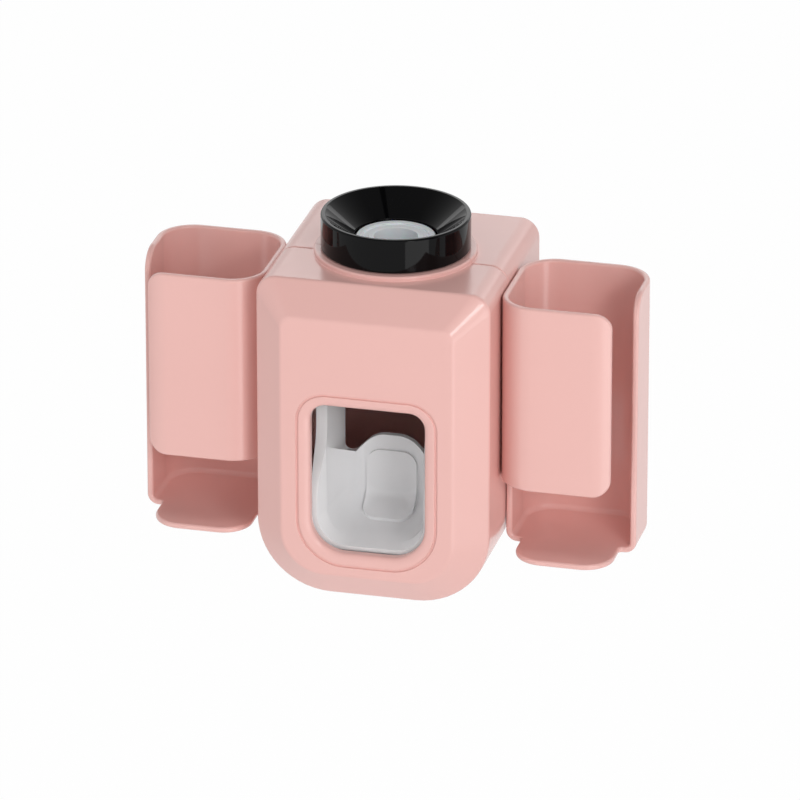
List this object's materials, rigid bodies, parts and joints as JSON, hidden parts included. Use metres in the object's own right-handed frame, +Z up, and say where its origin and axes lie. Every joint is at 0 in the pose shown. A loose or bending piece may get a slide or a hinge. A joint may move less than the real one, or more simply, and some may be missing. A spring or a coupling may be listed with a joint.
{
  "type": "toothpaste dispenser",
  "caption": "Wall-hung toothpaste dispenser with a bevelled body, window, push lever, funnel collar and open side cups.",
  "frame": {"origin": "centre of the adhesive pad's face on the wall", "axes": "+Y into the wall, +X to the right as seen from the front, +Z up; the window faces -Y"},
  "size_m": [0.202, 0.096, 0.1504],
  "materials": {
    "foam_pad": "matt closed-cell foam tape",
    "grey_plate": "matt moulded ABS",
    "pink_shell": "satin-gloss moulded ABS",
    "black_gloss": "polished moulded ABS",
    "white_silicone": "translucent moulded silicone",
    "frame_plastic": "matt moulded ABS",
    "zinc_steel": "zinc plated",
    "white_gloss": "gloss moulded ABS",
    "acetal": "turned acetal",
    "pin_steel": "turned stainless",
    "spring_wire": "drawn spring wire",
    "bumper_rubber": "moulded rubber"
  },
  "bodies": {
    "wall_mount": {"wall_pad": "foam_pad", "wall_plate": "grey_plate"},
    "housing": {"rear_housing": "pink_shell", "core_frame": "frame_plastic", "core_screws": "zinc_steel", "tube_seat": "white_silicone", "inlet_valve": "white_silicone", "squeeze_chamber": "white_silicone", "outlet_nozzle": "white_silicone", "nozzle_ring": "frame_plastic", "right_pivot_pin": "pin_steel", "left_pivot_pin": "pin_steel", "pin_clips": "zinc_steel", "right_spring": "spring_wire", "left_spring": "spring_wire", "stop_bumpers": "bumper_rubber"},
    "cover": {"front_cover": "pink_shell"},
    "lever": {"push_lever": "white_gloss", "presser_pad": "frame_plastic", "lever_bushes": "acetal"},
    "collar": {"tube_collar": "black_gloss"},
    "left_cup": {"left_holder": "pink_shell"},
    "right_cup": {"right_holder": "pink_shell"}
  },
  "joints": [
    {"name": "housing_lift", "type": "slide", "parent": "wall_mount", "child": "housing", "axis": [0, 0, 1], "range_m": [0, 0.012]},
    {"name": "cover_pull", "type": "slide", "parent": "housing", "child": "cover", "axis": [0, -1, 0], "range_m": [0, 0.07]},
    {"name": "lever_push", "type": "hinge", "parent": "housing", "child": "lever", "pos_m": [0, -0.061, 0.04], "axis": [1, 0, 0], "range_deg": [0, 12], "stiffness_Nm_per_rad": 0.15, "springref_deg": -20.05, "deforming": ["squeeze_chamber", "right_spring", "left_spring"]},
    {"name": "collar_lift", "type": "slide", "parent": "housing", "child": "collar", "axis": [0, 0, 1], "range_m": [0, 0.025]},
    {"name": "left_cup_lift", "type": "slide", "parent": "housing", "child": "left_cup", "axis": [0, 0, 1], "range_m": [0, 0.0065]},
    {"name": "right_cup_lift", "type": "slide", "parent": "housing", "child": "right_cup", "axis": [0, 0, 1], "range_m": [0, 0.0065]}
  ]
}
